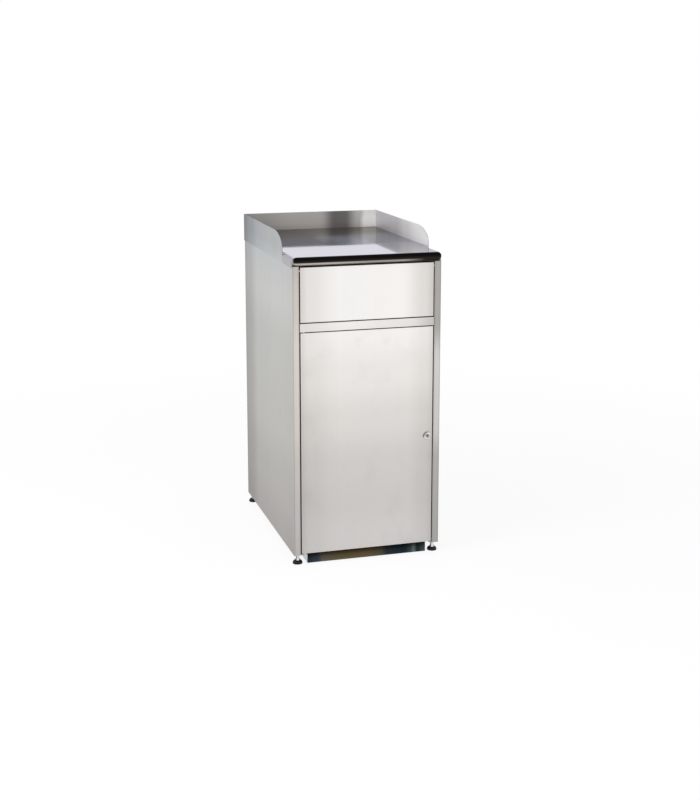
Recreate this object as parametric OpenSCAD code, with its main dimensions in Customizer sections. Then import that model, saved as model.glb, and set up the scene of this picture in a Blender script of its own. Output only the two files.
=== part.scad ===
// Tray return waste station: a free-standing cabinet of folded stainless sheet.
// The polished deck takes the tray, a push flap swings inwards for the waste,
// and the locked door below gives access to the waste container.
// Millimetres. X runs across the front, Y from the front to the back, Z up from the floor.

/* [Body] */
// Width over the two side panels
body_w = 500; // [440:1:600]
// Depth from the face of the door to the back
body_d = 720; // [620:1:820]
// Height of the deck above the floor
deck_h = 1021; // [980:1:1080]
// Gap between the floor and the lower edge of the side panels
foot_h = 32; // [29:0.5:38]
// Sheet thickness of the side and back panels
skin_t = 1.2; // [1:0.1:1.5]
// Inside radius of the folds in the side panels
fold_r = 1.5; // [1:0.1:2.5]
// Width of the return at the rear of each side panel
rear_return = 20; // [16:1:30]
// Width of the flange that carries the deck board
top_flange = 20; // [12:1:30]

/* [Front] */
// Width of each front post, folded from the side sheet
post_w = 22.4; // [22:0.1:26]
// Shut gap round the door and round the flap
shut_gap = 3.2; // [3:0.1:4]
// Thickness of the door and of the flap
leaf_t = 20; // [19:0.5:24]
// Sheet thickness of the door and flap skins
leaf_sheet = 1.2; // [1:0.1:1.5]
// Sheet thickness of the door and flap liners
liner_t = 1; // [0.8:0.1:1.5]
// Height of the door
door_h = 739; // [700:1:770]
// Lower edge of the door above the lower edge of the side panels
door_lift = 5; // [4.5:0.5:10]
// Height of the rail between the flap and the door
rail_h = 27.2; // [25:0.1:34]
// Depth of that rail, less than the leaf by the buffers behind it
rail_d = 17.7; // [14:0.1:17.7]
// Wall of the rail
rail_t = 1.2; // [1:0.1:2]
// Height of the rail over the flap
header_h = 16; // [14:0.5:24]
// Depth of the rail over the flap
header_d = 20; // [15:1:30]
// Running gap between a leaf and what lies behind it
leaf_gap = 0.3; // [0.2:0.05:0.5]

/* [Flap] */
// Pivot below the top edge of the flap
flap_pivot_drop = 12; // [11:0.5:13]
// Pivot behind the face of the flap and of the door
pivot_back = 8; // [7.5:0.5:8.5]
// Depth of the return along the top edge of the flap
flap_top_return = 16; // [14:0.5:16]
// Distance that the liner laps behind the posts
flap_lap = 8; // [5:0.5:10]
// Distance that the liner reaches down behind the rail
flap_tail = 11; // [10:0.5:14]
// Height of the slot in the flap skin and liner over the swinging rear corner
flap_slot = 4; // [3:0.5:6]
// Height over which the liner is narrow below the pivots
flap_neck = 30; // [26:1:40]

/* [Door fittings] */
// Pivot in from the hinge edge of the door
door_pivot_in = 12; // [11:0.5:13]
// Radius of the pivot pins
pin_r = 4; // [3:0.5:4.5]
// Radial clearance of each pin in its bore
pin_play = 0.05; // [0.03:0.01:0.08]
// Radius of the shoulder that carries the door
shoulder_r = 6; // [5.5:0.5:6.5]
// Centre of the lock in from the free edge of the door
lock_in = 17.4; // [16:0.1:30]
// Height of the lock above the floor
lock_z = 406.5; // [300:0.5:600]
// Radius of the lock flange
lock_flange_r = 12; // [11:0.5:13]
// Radius of the lock barrel
lock_r = 9.5; // [8.5:0.5:10]
// Length of the cam from the centre of the lock
cam_reach = 30; // [27:1:34]

/* [Deck and gallery] */
// Thickness of the deck sheet
deck_t = 1.5; // [1.2:0.1:2]
// Overhang of the rolled nosing in front of the door
nose_over = 10; // [6:0.5:12]
// Radius of the rolled nosing
nose_r = 14; // [12:0.5:16]
// Radius of the nosing corners, seen from above
corner_r = 18; // [17:0.5:24]
// Depth of the skirt below the deck
skirt_h = 34; // [29:1:44]
// Sheet thickness of the gallery
gallery_t = 1.5; // [1.2:0.1:2]
// Height of the gallery above the deck
gallery_h = 62; // [40:1:90]
// Front end of the gallery wings behind the face of the door
wing_y = 129.5; // [80:0.5:160]
// Length of the curve at the front of each wing
wing_curve = 110; // [80:1:200]
// Height of that curve
wing_curve_h = 50; // [30:1:60]

/* [Base] */
// Centre of each foot in from the side of the body
foot_in_x = 15.5; // [15:0.1:15.5]
// Centre of each foot in from the front and back of the body
foot_in_y = 20; // [18:0.5:30]
// Radius of the foot pads
pad_r = 16.5; // [14:0.5:17]
// Height of the foot pads
pad_h = 12; // [9:0.5:13]
// Radius of the threaded stems
stem_r = 4; // [3.5:0.5:5]
// Length of each foot bracket along the side
bracket_len = 60; // [50:1:80]
// Plate thickness of the foot brackets
bracket_t = 3; // [2.5:0.5:4]
// Leg of the base rails
base_leg = 25; // [20:1:30]
// Thickness of the base rails
base_t = 1.5; // [1.2:0.1:2]
// Base pan in from each side of the body
pan_in = 45; // [42:1:60]
// Base pan behind the face of the door
pan_set = 4; // [2:0.5:12]
// Base pan above the floor
pan_clear = 3; // [3:0.5:8]
// Base pan in front of the back of the body
pan_rear = 45; // [40:1:80]

/* [Waste container] */
// Container in from each side of the body
bin_in = 60; // [58:1:100]
// Container in front of the back of the body
bin_rear = 95; // [80:1:300]
// Rim of the container below the top of the door
bin_drop = 76.5; // [70:0.5:95]
// Wall of the container
bin_wall = 1.5; // [1:0.1:3]
// Front of the container behind the face of the door
bin_y = 45; // [42:1:60]
// Radius of the container's upright corners
bin_corner = 30; // [20:1:50]

/* [Hidden] */
$fn = 48;

satin = [0.78, 0.77, 0.75];
bright = [0.86, 0.85, 0.84];
polished = [0.62, 0.64, 0.67];
plated = [0.66, 0.66, 0.68];
black_rubber = [0.08, 0.08, 0.09];
nylon = [0.90, 0.89, 0.85];
board_brown = [0.55, 0.45, 0.33];

eps = 1;
side_x = body_w/2;
overall_d = nose_over + body_d + gallery_t;
front_y = nose_over - overall_d/2;
open_x = side_x - post_w;
leaf_x = open_x - shut_gap;
post_d = leaf_t - leaf_gap;
inner_x = side_x - skin_t;
fold_in = skin_t + fold_r;

nose_z = deck_h - nose_r;
nose_y = nose_r - nose_over;
panel_top = nose_z;
board_t = nose_r - deck_t;
wing_x = side_x + gallery_t;
corner_x = wing_x - corner_r;
corner_y = corner_r - nose_over;
skirt_z = deck_h - skirt_h;
gallery_top = deck_h + gallery_h;
wing_seam = 0.6;

door_z = foot_h + door_lift;
door_top = door_z + door_h;
rail_z = door_top + shut_gap;
flap_z = rail_z + rail_h + shut_gap;
opening_top = panel_top - header_h;
flap_top = opening_top - shut_gap;
flap_pivot_z = flap_top - flap_pivot_drop;
door_pivot_x = door_pivot_in - leaf_x;
header_y = corner_y + leaf_gap;
nose_lip = header_y - nose_y;
rail_end_gap = 1.6;
rail_end_depth = 6;
board_gap = 1;
header_gap = 1;

liner_y = leaf_t - liner_t;
block_w = 26;
block_h = 18;
bush_w = 14;
bush_half = 8;
collar_t = 4;
collar_gap = 0.1;
collar_r = pivot_back - fold_in - collar_gap;
pin_hole = pin_r + pin_play;
pin_slot_gap = 1;
pin_into_block = 12;
stiffener_x = 105;
stiffener_web = 40;
stiffener_flange = 15;
stiffener_end = 30;
buffer_r = 3.5;
buffer_gap = 0.2;
buffer_t = leaf_t - rail_d - buffer_gap;
buffer_x = 190;

lock_x = leaf_x - lock_in;
lock_flange_t = 2.5;
lock_len = leaf_t + 6;
plug_r = 6;
plug_play = 0.05;
lock_fit = 0.1;
nut_across = 24;
nut_t = 5;
plug_recess = 0.3;
keyway_w = 1.4;
keyway_h = 7.6;
keyway_d = 3;
screw_hole = 10;
screw_len = 8;
screw_play = 0.1;
screw_head_r = 6;
screw_head_h = 3.5;
cam_t = 2.5;
cam_w = 14;
cam_gap = 0.8;
cam_y = lock_len + cam_gap;
cam_shoulder = 2;
cam_square = 8;
cam_play = 0.05;
cam_screw_r = 2.5;
strike_t = 2;
strike_half = 22;
strike_gap = 0.5;
strike_in = 4;
strike_y = cam_y - strike_gap;
stop_t = 1.5;
stop_h = 24;
stop_reach = 15.6;
stop_buffer_r = 5;
stop_buffer_t = 2.5;
stop_inset = 36;
stop_buffer_in = 6;
fold_gap = 0.9;

weld_nut_across = 14;
weld_nut_h = 8;
stem_cone_r = 8;
stem_cone_h = 14;
stem_seat = 5;
stem_play = 0.1;
pad_edge = 3;
stem_len = 56;
lip_notch_gap = 2;
lip_notch = bracket_t + weld_nut_h + lip_notch_gap;
bracket_upstand = 20;
pan_gap = 1;
bracket_reach = pan_in - pan_gap;
rear_reach = 30;
back_in = body_d - 2*skin_t;
back_half = side_x - fold_in - leaf_gap;
pan_x = side_x - pan_in;
pan_back = body_d - pan_rear;
pan_t = 1.2;
pan_under = 1.5;
pan_flange_gap = 4;

chute_t = 1;
cheek_gap = 4.6;
cheek_x = leaf_x + flap_lap + cheek_gap;
cheek_behind = 14;
cheek_y = leaf_t + cheek_behind;
cheek_low = 15;
bin_w = body_w - 2*bin_in;
bin_len = body_d - bin_rear - bin_y;
bin_floor = pan_clear + pan_t + leaf_gap;
bin_rim_z = door_top - bin_drop;
bin_h = bin_rim_z - bin_floor;
bin_rim_w = 8;
bin_rim_h = 6;
retainer_t = 3;
baffle_behind = 15;
baffle_y = body_d - bin_rear + baffle_behind;
baffle_tip = 25;
baffle_bend = 30;
baffle_drop = 5;
chute_low = bin_rim_z + retainer_t + cheek_low;
chute_head = 8;
chute_top = opening_top - chute_head;
tail_gap = 1.6;
deflector_side = 1;
deflector_x = open_x - deflector_side;
deflector_top = flap_z - flap_tail - tail_gap;
deflector_tip = 57;
// The slope starts high enough to pass behind the rear corner of the opening door
hinge_sweep = norm([door_pivot_in, leaf_t - pivot_back]);
sweep_gap = 2;
slope_share = (pivot_back + hinge_sweep + sweep_gap - rail_d)/deflector_tip;
deflector_bend = (door_top - slope_share*chute_low)/(1 - slope_share);
handle_r = 4;
handle_span = 120;
handle_off = 30;
handle_below = 90;
handle_z = bin_rim_z - handle_below;
rivet_head_r = 4;
rivet_head_h = 1.2;
rivet_r = 2;
rivet_flare = 1;
rivet_count = 5;
rivet_end = 90;

// Puts a piece drawn from the face of the door into the frame of the whole part
module at_front() translate([0, front_y, 0]) children();

// Turns a flat shape drawn in Y and Z into a bar from x0 to x1
module along_x(x0, x1) translate([x0, 0, 0]) rotate([90, 0, 90]) linear_extrude(x1 - x0) children();

// A bolt or bore along Y from y0 to y1
module along_y(y0, y1, r) translate([0, y0, 0]) rotate([-90, 0, 0]) cylinder(r = r, h = y1 - y0);

module box(x0, x1, y0, y1, z0, z1) translate([x0, y0, z0]) cube([x1 - x0, y1 - y0, z1 - z0]);

module mirrored(side) mirror([side < 0 ? 0 : 1, 0, 0]) children();

// A rectangle with true round corners, centred
module round_rect(w, d, r) {
  square([w - 2*r, d], center = true);
  square([w, d - 2*r], center = true);
  for (sx = [-1, 1], sy = [-1, 1]) translate([sx*(w/2 - r), sy*(d/2 - r)]) circle(r);
}

function unit(v) = v/norm(v);
function turned(v, a) = [v.x*cos(a) - v.y*sin(a), v.x*sin(a) + v.y*cos(a)];

// Points of one fold: the path turns at b, off is how far the line lies right of the path
function fold_arc(a, b, c, r, off, steps = 4) =
  let (u = unit(b - a), w = unit(c - b), turn = atan2(cross(u, w), u*w), s = sign(turn))
  let (start = b - u*r*tan(abs(turn)/2), out = turned(u, -90*s), hub = start - out*r)
  [for (k = [0:steps]) hub + turned(out*(r + s*off), turn*k/steps)];

function sheet_edge(p, r, off) = let (n = len(p)) concat(
  [p[0] + turned(unit(p[1] - p[0]), -90)*off],
  [for (i = [1:n - 2]) each fold_arc(p[i - 1], p[i], p[i + 1], r, off)],
  [p[n - 1] + turned(unit(p[n - 1] - p[n - 2]), -90)*off]);

// Section of a sheet folded along a path, with its thickness to the right of the path.
// Every fold turns right, so the path is the outer face.
module folded_sheet(path, t, r) {
  inner = sheet_edge(path, r + t, t);
  polygon(concat(sheet_edge(path, r + t, 0), [for (i = [len(inner) - 1:-1:0]) inner[i]]));
}

// Upper quarter of the rolled edge, in u outwards and z up from the centre of the roll
module roll_quarter() {
  intersection() {
    difference() {
      circle(nose_r);
      circle(nose_r - deck_t);
    }
    square(nose_r + eps);
  }
}

module side_panel() {
  section = [[-open_x, post_d], [-open_x, 0], [-side_x, 0],
    [-side_x, body_d], [rear_return - side_x, body_d]];
  difference() {
    translate([0, 0, foot_h]) linear_extrude(panel_top - foot_h)
      folded_sheet(section, skin_t, fold_r);
    box(-side_x - eps, -inner_x, -eps, corner_y + leaf_gap, opening_top, deck_h);
    box(-inner_x, eps - open_x, -eps, leaf_t + eps, opening_top, deck_h);
    box(-open_x - skin_t - leaf_gap, eps - open_x, skin_t + leaf_gap, leaf_t + eps,
      foot_h - eps, foot_h + lip_notch);
    translate([-open_x - skin_t - eps, pivot_back, flap_pivot_z]) rotate([0, 90, 0])
      cylinder(r = pin_hole, h = skin_t + 2*eps);
    rivet_places() along_y(-5*eps, 5*eps, rivet_r + pin_play);
  }
  box(-inner_x, top_flange - inner_x, header_y + header_d + header_gap, back_in - header_gap,
    panel_top - skin_t, panel_top);
}

module left_side_panel() color(satin) at_front() side_panel();

module right_side_panel() color(satin) at_front() mirrored(1) side_panel();

module back_panel() color(satin) at_front() difference() {
  box(-back_half, back_half, back_in, back_in + skin_t, foot_h, panel_top);
  for (side = [-1, 1]) mirrored(side) rivet_places() along_y(-5*eps, 5*eps, rivet_r + pin_play);
}

// Places of the rivets in the left rear return
module rivet_places() {
  pitch = (panel_top - foot_h - 2*rivet_end)/(rivet_count - 1);
  for (k = [0:rivet_count - 1])
    translate([rear_return/2 - side_x, body_d, foot_h + rivet_end + k*pitch]) children();
}

module rivet() {
  along_y(0, rivet_head_h, rivet_head_r);
  along_y(-2*skin_t, 0, rivet_r);
  along_y(-2*skin_t - 2*rivet_r, -2*skin_t, rivet_r + rivet_flare);
}

module back_panel_rivets() color(plated) at_front()
  for (side = [-1, 1]) mirrored(side) rivet_places() rivet();

module mid_rail() color(satin) at_front() difference() {
  along_x(-open_x, open_x) translate([0, rail_z]) difference() {
    square([rail_d, rail_h]);
    translate([rail_t, rail_t]) square([rail_d - 2*rail_t, rail_h - 2*rail_t]);
  }
  for (side = [-1, 1]) mirrored(side)
    box(-open_x - eps, rail_end_gap - open_x, -eps, rail_end_depth, rail_z - eps, flap_z);
  translate([door_pivot_x, pivot_back, rail_z - eps]) cylinder(r = pin_hole, h = rail_t + 2*eps);
}

module header_rail() color(satin) at_front()
  along_x(-inner_x, inner_x) translate([header_y, opening_top]) {
    square([rail_t, header_h]);
    square([header_d, rail_t]);
    translate([0, header_h - rail_t]) square([header_d, rail_t]);
  }

module side_base_rail() {
  y0 = fold_in + bracket_len;
  y1 = body_d - fold_in - bracket_len;
  box(-inner_x, base_t - inner_x, y0, y1, foot_h, foot_h + base_leg);
  box(-inner_x, base_leg - inner_x, y0, y1, foot_h, foot_h + base_t);
}

module left_base_rail() color(satin) at_front() side_base_rail();

module right_base_rail() color(satin) at_front() mirrored(1) side_base_rail();

module rear_base_rail() color(satin) at_front() {
  end_x = inner_x - rear_reach;
  box(-end_x, end_x, back_in - base_t, back_in, foot_h, foot_h + base_leg);
  box(-end_x, end_x, back_in - base_leg, back_in, foot_h, foot_h + base_t);
}

// Corner bracket on the left side, from y0 along the panel; the foot stands at foot_y
module foot_bracket(y0, foot_y, reach) {
  difference() {
    box(-inner_x, reach - inner_x, y0, y0 + bracket_len, foot_h, foot_h + bracket_t);
    translate([foot_in_x - side_x, foot_y, foot_h - eps])
      cylinder(r = stem_r + pin_play, h = bracket_t + 2*eps);
    translate([door_pivot_x, pivot_back, foot_h - eps])
      cylinder(r = pin_hole, h = bracket_t + 2*eps);
  }
  box(-inner_x, base_t - inner_x, y0, y0 + bracket_len,
    foot_h + bracket_t, foot_h + bracket_t + bracket_upstand);
}

module foot_bracket_front_left() color(plated) at_front()
  foot_bracket(fold_in, foot_in_y, bracket_reach - skin_t);

module foot_bracket_front_right() color(plated) at_front() mirrored(1)
  foot_bracket(fold_in, foot_in_y, rear_reach);

module foot_bracket_rear_left() color(plated) at_front()
  foot_bracket(body_d - fold_in - bracket_len, body_d - foot_in_y, rear_reach);

module foot_bracket_rear_right() color(plated) at_front() mirrored(1)
  foot_bracket(body_d - fold_in - bracket_len, body_d - foot_in_y, rear_reach);

// Places of the four feet; x_side and y_side are -1 or 1
module foot_place(x_side, y_side)
  translate([x_side*(side_x - foot_in_x), y_side < 0 ? foot_in_y : body_d - foot_in_y, 0]) children();

module hex_nut(across, h, bore) difference() {
  cylinder(r = across/2/cos(30), h = h, $fn = 6);
  translate([0, 0, -eps]) cylinder(r = bore, h = h + 2*eps);
}

module foot_weld_nuts() color(plated) at_front()
  for (sx = [-1, 1], sy = [-1, 1]) foot_place(sx, sy) translate([0, 0, foot_h + bracket_t])
    rotate([0, 0, 30]) hex_nut(weld_nut_across, weld_nut_h, stem_r + pin_play);

// Domed pad, open on top for the root of the stem
module foot_pad(sx, sy) color(black_rubber) at_front() foot_place(sx, sy) rotate_extrude() difference() {
  dome = pad_h - pad_edge;
  union() {
    square([pad_r, pad_edge]);
    translate([0, pad_edge]) intersection() {
      translate([pad_r - dome, 0]) circle(dome);
      square([pad_r, dome]);
    }
    square([pad_r - dome, pad_h]);
  }
  translate([0, pad_h - stem_seat]) square([stem_r + stem_play, pad_h]);
}

module foot_stem(sx, sy) color(plated) at_front() foot_place(sx, sy) {
  translate([0, 0, pad_h - stem_seat]) cylinder(r = stem_r, h = stem_len - pad_h + stem_seat);
  translate([0, 0, pad_h]) cylinder(r1 = stem_cone_r, r2 = stem_r, h = stem_cone_h);
}

module foot_pad_front_left() foot_pad(-1, -1);
module foot_pad_front_right() foot_pad(1, -1);
module foot_pad_rear_left() foot_pad(-1, 1);
module foot_pad_rear_right() foot_pad(1, 1);
module foot_stem_front_left() foot_stem(-1, -1);
module foot_stem_front_right() foot_stem(1, -1);
module foot_stem_rear_left() foot_stem(-1, 1);
module foot_stem_rear_right() foot_stem(1, 1);

module base_pan() color(polished) at_front() {
  flange_z = foot_h + base_t;
  rim_z = flange_z + pan_t;
  difference() {
    box(-pan_x, pan_x, pan_set, pan_back, pan_clear, rim_z);
    box(pan_t - pan_x, pan_x - pan_t, pan_set + pan_t, pan_back - pan_t, pan_clear + pan_t, deck_h);
  }
  box(-pan_x, pan_x, pan_set, pan_set + pan_t, rim_z - eps, door_z - pan_under);
  for (side = [-1, 1]) mirrored(side)
    box(pan_flange_gap - inner_x, eps - pan_x, fold_in + bracket_len + pan_gap,
      body_d - fold_in - bracket_len - pan_gap, flange_z, rim_z);
  box(-pan_x, pan_x, pan_back - eps, back_in - pan_flange_gap, flange_z, rim_z);
}

module deck() color(polished) at_front() {
  plate_x = corner_x + corner_r - nose_r;
  translate([0, 0, deck_h - deck_t]) linear_extrude(deck_t) {
    translate([-plate_x, corner_y]) square([2*plate_x, body_d - corner_y]);
    translate([-corner_x, nose_y]) square([2*corner_x, corner_r]);
    for (sx = [-1, 1]) translate([sx*corner_x, corner_y]) circle(corner_r - nose_r);
    translate([-side_x, wing_y]) square([body_w, body_d - wing_y]);
  }
  along_x(-corner_x, corner_x) translate([nose_y, nose_z]) mirror([1, 0]) {
    roll_quarter();
    mirror([0, 1]) roll_quarter();
    translate([-nose_lip, -nose_r]) square([nose_lip + 0.01, deck_t]);
  }
  for (side = [-1, 1]) mirrored(side) {
    translate([-corner_x, corner_y, nose_z]) rotate([0, 0, 180])
      rotate_extrude(angle = 90) translate([corner_r - nose_r, 0]) {
        roll_quarter();
        mirror([0, 1]) roll_quarter();
      }
    translate([-plate_x, corner_y, nose_z]) mirror([1, 0, 0]) rotate([90, 0, 0])
      translate([0, 0, corner_y - wing_y]) linear_extrude(wing_y - corner_y) {
        roll_quarter();
        translate([nose_r - deck_t, skirt_z - nose_z]) square([deck_t, nose_z - skirt_z + 0.01]);
      }
  }
}

module deck_board() color(board_brown) at_front() {
  board_x = corner_x + corner_r - nose_r - board_gap;
  box(-board_x, board_x, header_y, back_in, panel_top, panel_top + board_t);
}

// Outline of a wing in Y and Z: level at the back, a quarter ellipse and a short upright in front
module wing_outline() {
  y0 = wing_y + wing_seam;
  y1 = body_d + gallery_t;
  steps = 20;
  curve = [for (k = [0:steps])
    [y0 + wing_curve*(1 - cos(90*k/steps)), gallery_top - wing_curve_h*(1 - sin(90*k/steps))]];
  polygon(concat([[y1, skirt_z], [y0, skirt_z]], curve, [[y1, gallery_top]]));
}

module gallery() color(satin) at_front() {
  for (side = [-1, 1]) mirrored(side) along_x(-wing_x, -side_x) wing_outline();
  box(-wing_x, wing_x, body_d, body_d + gallery_t, skirt_z, gallery_top);
}

// Folded tray from z0 to z1 with its returns to the rear
module leaf_skin(z0, z1) difference() {
  box(-leaf_x, leaf_x, 0, leaf_t, z0, z1);
  box(leaf_sheet - leaf_x, leaf_x - leaf_sheet, leaf_sheet, leaf_t + eps,
    z0 + leaf_sheet, z1 - leaf_sheet);
}

module flap_skin() color(bright) at_front() difference() {
  leaf_skin(flap_z, flap_top);
  box(-open_x, open_x, flap_top_return, leaf_t + eps, flap_pivot_z + flap_slot, flap_top + eps);
  translate([0, pivot_back, flap_pivot_z]) rotate([0, 90, 0])
    translate([0, 0, -open_x]) cylinder(r = pin_r + pin_slot_gap, h = 2*open_x);
}

module flap_liner() color(satin) at_front() {
  lap_x = leaf_x + flap_lap;
  neck_z = flap_pivot_z - flap_neck;
  box(-lap_x, lap_x, leaf_t, leaf_t + liner_t, flap_z - flap_tail, neck_z);
  box(-leaf_x, leaf_x, leaf_t, leaf_t + liner_t, neck_z - eps, flap_pivot_z - flap_slot);
}

module flap_bush() difference() {
  box(leaf_sheet - leaf_x, leaf_sheet - leaf_x + bush_w, leaf_sheet, leaf_sheet + bush_w,
    flap_pivot_z - bush_half, flap_pivot_z + bush_half);
  translate([-open_x, pivot_back, flap_pivot_z]) rotate([0, 90, 0])
    cylinder(r = pin_hole, h = open_x);
}

module flap_bush_left() color(nylon) at_front() flap_bush();
module flap_bush_right() color(nylon) at_front() mirrored(1) flap_bush();

// Shoulder pin, put through the post from inside the body
module flap_pin() translate([-open_x - skin_t, pivot_back, flap_pivot_z]) rotate([0, 90, 0]) {
  translate([0, 0, -collar_t]) cylinder(r = collar_r, h = collar_t);
  cylinder(r = pin_r, h = skin_t + shut_gap + leaf_sheet + pin_into_block);
}

module flap_pin_left() color(plated) at_front() flap_pin();
module flap_pin_right() color(plated) at_front() mirrored(1) flap_pin();

module flap_buffers() color(black_rubber) at_front()
  for (sx = [-1, 1]) translate([sx*buffer_x, 0, flap_z - flap_tail + buffer_r])
    along_y(leaf_t - buffer_t, leaf_t, buffer_r);

module door_skin() color(bright) at_front() difference() {
  leaf_skin(door_z, door_top);
  translate([lock_x, 0, lock_z]) along_y(-eps, 2*leaf_sheet, lock_r + lock_fit);
  translate([door_pivot_x, pivot_back, door_z - eps])
    cylinder(r = shoulder_r + pin_slot_gap, h = door_h + 2*eps);
}

module door_liner() color(satin) at_front() difference() {
  box(leaf_sheet - leaf_x, leaf_x - leaf_sheet, liner_y, leaf_t,
    door_z + leaf_sheet, door_top - leaf_sheet);
  translate([lock_x, 0, lock_z]) along_y(0, 2*leaf_t, lock_r + lock_fit);
}

// Hat channels between the skin and the liner
module door_stiffeners() color(plated) at_front()
  for (sx = [-1, 1]) translate([sx*stiffener_x, 0, door_z + stiffener_end])
    linear_extrude(door_h - 2*stiffener_end) {
      translate([-stiffener_web/2, leaf_sheet]) square([stiffener_web, liner_t]);
      for (hx = [-stiffener_web/2, stiffener_web/2 - liner_t])
        translate([hx, leaf_sheet]) square([liner_t, liner_y - leaf_sheet]);
      for (fx = [-stiffener_web/2 - stiffener_flange, stiffener_web/2])
        translate([fx, liner_y - liner_t]) square([stiffener_flange, liner_t]);
    }

module pivot_block(z0) difference() {
  box(leaf_sheet - leaf_x, leaf_sheet - leaf_x + block_w, leaf_sheet, liner_y, z0, z0 + block_h);
  translate([door_pivot_x, pivot_back, z0 - eps]) cylinder(r = pin_hole, h = block_h + 2*eps);
}

module door_pivot_block_top() color(nylon) at_front()
  pivot_block(door_top - leaf_sheet - block_h);

module door_pivot_block_bottom() color(nylon) at_front() pivot_block(door_z + leaf_sheet);

// The shoulder stands on the foot bracket and carries the block
module door_pin_bottom() color(plated) at_front() translate([door_pivot_x, pivot_back, 0]) {
  shoulder_z = foot_h + bracket_t;
  translate([0, 0, foot_h]) cylinder(r = pin_r, h = door_lift + leaf_sheet + pin_into_block);
  translate([0, 0, shoulder_z])
    cylinder(r = shoulder_r, h = door_z + leaf_sheet - leaf_gap - shoulder_z);
}

// The head rests on the lower wall of the rail
module door_pin_top() color(plated) at_front() translate([door_pivot_x, pivot_back, 0]) {
  low = door_top - leaf_sheet - pin_into_block;
  translate([0, 0, low]) cylinder(r = pin_r, h = rail_z + rail_t - low);
  translate([0, 0, rail_z + rail_t]) cylinder(r = shoulder_r, h = collar_t);
}

// Angle behind the right post that the closed door meets
module door_stop(z0) {
  tab_y = leaf_t + leaf_gap + stop_buffer_t;
  lip_x = open_x + skin_t;
  box(lip_x, lip_x + stop_t, skin_t + fold_r + fold_gap, tab_y + stop_t, z0, z0 + stop_h);
  box(open_x - stop_reach, lip_x + eps, tab_y, tab_y + stop_t, z0, z0 + stop_h);
}

module door_stop_top() color(satin) at_front() door_stop(door_top - stop_inset - stop_h);
module door_stop_bottom() color(satin) at_front() door_stop(door_z + stop_inset);

module door_buffers() color(black_rubber) at_front()
  for (z0 = [door_top - stop_inset - stop_h, door_z + stop_inset])
    translate([open_x - stop_reach + stop_buffer_in, 0, z0 + stop_h/2])
      along_y(leaf_t + leaf_gap, leaf_t + leaf_gap + stop_buffer_t, stop_buffer_r);

module at_lock() translate([lock_x, 0, lock_z]) children();

module lock_barrel() color(plated) at_front() at_lock() difference() {
  union() {
    along_y(-lock_flange_t, 0, lock_flange_r);
    along_y(-0.01, lock_len, lock_r);
  }
  along_y(-lock_flange_t - eps, lock_len + eps, plug_r + plug_play);
}

module lock_nut() color(plated) at_front() at_lock() difference() {
  translate([0, leaf_t, 0]) rotate([-90, 0, 0])
    cylinder(r = nut_across/2/cos(30), h = nut_t, $fn = 6);
  along_y(0, lock_len, lock_r + plug_play);
}

// Plug with a keyway in its face and a square for the cam at the rear
module lock_plug() color(plated) at_front() at_lock() difference() {
  union() {
    along_y(plug_recess - lock_flange_t, cam_y, plug_r);
    box(-cam_square/2, cam_square/2, cam_y - eps, cam_y + cam_t, -cam_square/2, cam_square/2);
  }
  box(-keyway_w/2, keyway_w/2, -lock_flange_t, keyway_d, -keyway_h/2, keyway_h/2);
  along_y(lock_len - screw_hole, cam_y + cam_t + eps, cam_screw_r + screw_play);
}

// Hangs down when unlocked and turns behind the strike when locked
module lock_cam() color(plated) at_front() at_lock() difference() {
  hole = cam_square/2 + cam_play;
  translate([0, cam_y, 0]) rotate([-90, 0, 0]) linear_extrude(cam_t) {
    circle(cam_w/2 + cam_shoulder);
    translate([-cam_w/2, 0]) square([cam_w, cam_reach]);
  }
  box(-hole, hole, cam_y - eps, cam_y + cam_t + eps, -hole, hole);
}

module lock_cam_screw() color(plated) at_front() at_lock() {
  along_y(lock_len - screw_len, cam_y + cam_t, cam_screw_r);
  translate([0, cam_y + cam_t, 0]) rotate([-90, 0, 0])
    cylinder(r = screw_head_r, h = screw_head_h, $fn = 6);
}

module lock_strike() color(plated) at_front() {
  lip_x = open_x + skin_t;
  low = lock_z - strike_half;
  high = lock_z + strike_half;
  box(lip_x, lip_x + strike_t, skin_t + fold_r + fold_gap, strike_y, low, high);
  box(lip_x, inner_x - strike_in, strike_y - strike_t, strike_y, low, high);
}

// Slopes from the rear of the rail over the front rim of the container
module chute_front_deflector() color(satin) at_front() {
  tip_y = rail_d + deflector_tip;
  inside = rail_d + chute_t;
  along_x(-deflector_x, deflector_x) polygon([[rail_d, deflector_top], [rail_d, deflector_bend],
    [tip_y, chute_low], [tip_y + chute_t, chute_low + chute_t],
    [inside, deflector_bend + chute_t], [inside, deflector_top]]);
}

module chute_cheek() {
  y1 = baffle_y + chute_t;
  box(-cheek_x - chute_t, -cheek_x, cheek_y, y1, chute_low, chute_top);
  box(-inner_x, -cheek_x, cheek_y, y1, chute_low, chute_low + chute_t);
  box(-inner_x, -cheek_x, cheek_y, y1, chute_top - chute_t, chute_top);
}

module chute_cheek_left() color(satin) at_front() chute_cheek();
module chute_cheek_right() color(satin) at_front() mirrored(1) chute_cheek();

module chute_rear_baffle() color(satin) at_front() {
  bend_z = chute_low + baffle_bend;
  tip_y = baffle_y - baffle_tip;
  tip_z = chute_low - baffle_drop;
  along_x(-cheek_x, cheek_x) polygon([[baffle_y, chute_top], [baffle_y, bend_z],
    [tip_y, tip_z], [tip_y + chute_t, tip_z - chute_t/2],
    [baffle_y + chute_t, bend_z - chute_t/2], [baffle_y + chute_t, chute_top]]);
}

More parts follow.
